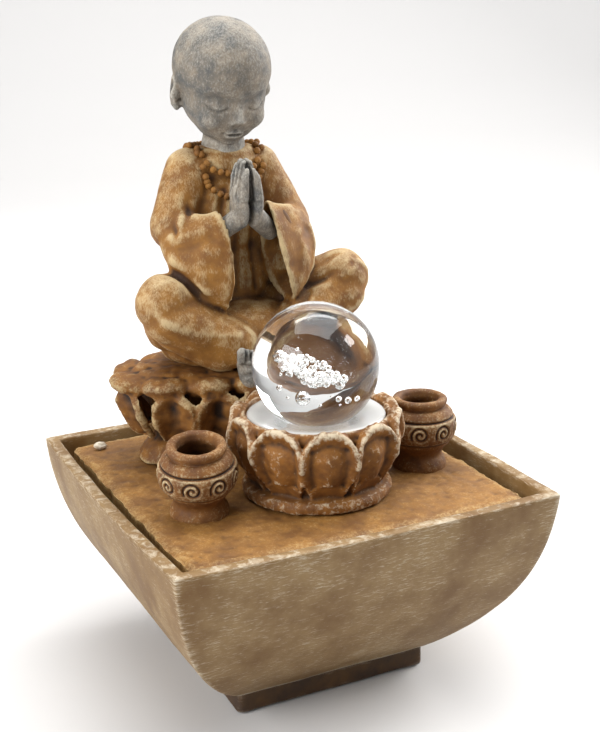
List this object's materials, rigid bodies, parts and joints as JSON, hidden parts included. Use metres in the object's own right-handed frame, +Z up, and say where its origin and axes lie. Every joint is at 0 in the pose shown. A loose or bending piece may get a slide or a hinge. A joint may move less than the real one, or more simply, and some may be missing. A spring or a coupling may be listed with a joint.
{
  "type": "tabletop water fountain",
  "caption": "Tabletop fountain: square flared basin, lift-out deck with a seated praying figure on a lotus throne, jars, and a lotus bowl whose dish holds a turning glass ball.",
  "frame": {"origin": "bottom centre of the rubber feet, on the surface the fountain stands on", "axes": "+Z up, front of the fountain (the lotus bowl's side) towards -Y, +X to the viewer's right"},
  "size_m": [0.1638, 0.1638, 0.2623],
  "materials": {
    "basin_resin": "cast polyresin, taupe stain with dry-brushed whitewash",
    "foot_resin": "cast polyresin, dark brown stain",
    "deck_resin": "cast polyresin, gritty ochre stain",
    "ochre_resin": "cast polyresin, ochre stain with white dry-brushing on raised edges",
    "stone_resin": "cast polyresin painted as weathered grey stone",
    "pebble_stone": "small pale chip",
    "clear_glass": "polished",
    "clear_dish": "clear acrylic, softly worn",
    "black_plastic": "moulded ABS",
    "grey_plastic": "moulded ABS",
    "white_plastic": "moulded acetal",
    "black_rubber": "matt",
    "clear_vinyl": "translucent vinyl tube",
    "magnet": "ferrite",
    "shaft_ceramic": "ground ceramic",
    "pin_brass": "plated"
  },
  "bodies": {
    "basin": {"basin_shell": "basin_resin", "foot_plinth": "foot_resin", "foot_pad_1": "black_rubber", "foot_pad_2": "black_rubber", "foot_pad_3": "black_rubber", "foot_pad_4": "black_rubber", "inlet_body": "black_plastic", "inlet_pin": "pin_brass", "inlet_seal": "black_rubber", "inlet_nut": "grey_plastic", "pump_housing": "black_plastic", "volute_cover": "grey_plastic", "rotor_shaft": "shaft_ceramic", "suction_cup_1": "black_rubber", "suction_cup_2": "black_rubber", "suction_cup_3": "black_rubber", "suction_cup_4": "black_rubber", "riser_tube": "clear_vinyl", "pump_lead": "black_rubber"},
    "rotor": {"rotor_magnet": "magnet", "impeller": "white_plastic"},
    "strainer": {"strainer_cover": "grey_plastic"},
    "dial": {"flow_dial": "grey_plastic"},
    "deck": {"deck_plate": "deck_resin", "lotus_throne": "ochre_resin", "monk_robe": "ochre_resin", "monk_head": "stone_resin", "praying_hands": "stone_resin", "crossed_feet": "stone_resin", "prayer_beads_1": "ochre_resin", "prayer_beads_2": "ochre_resin", "lotus_bowl": "ochre_resin", "nozzle": "black_plastic", "nozzle_seal": "black_rubber", "jar_left": "ochre_resin", "jar_right": "ochre_resin", "pebble": "pebble_stone"},
    "dish": {"glass_dish": "clear_dish"},
    "ball": {"glass_ball": "clear_glass"}
  },
  "joints": [
    {"name": "deck_lift", "type": "slide", "parent": "basin", "child": "deck", "axis": [0, 0, 1], "range_m": [0, 0.06]},
    {"name": "dish_lift", "type": "slide", "parent": "deck", "child": "dish", "axis": [0, 0, 1], "range_m": [0, 0.03]},
    {"name": "ball_spin", "type": "hinge", "parent": "dish", "child": "ball", "pos_m": [0.0025, -0.0233, 0.1322], "axis": [1, 0, 0], "continuous": true},
    {"name": "rotor_spin", "type": "hinge", "parent": "basin", "child": "rotor", "pos_m": [0.0025, -0.0233, 0.034], "axis": [1, 0, 0], "continuous": true},
    {"name": "strainer_slide", "type": "slide", "parent": "basin", "child": "strainer", "axis": [1, 0, 0], "range_m": [0, 0.012]},
    {"name": "dial_turn", "type": "hinge", "parent": "strainer", "child": "dial", "pos_m": [0.0231, -0.0233, 0.034], "axis": [1, 0, 0], "range_deg": [-45, 45]}
  ]
}
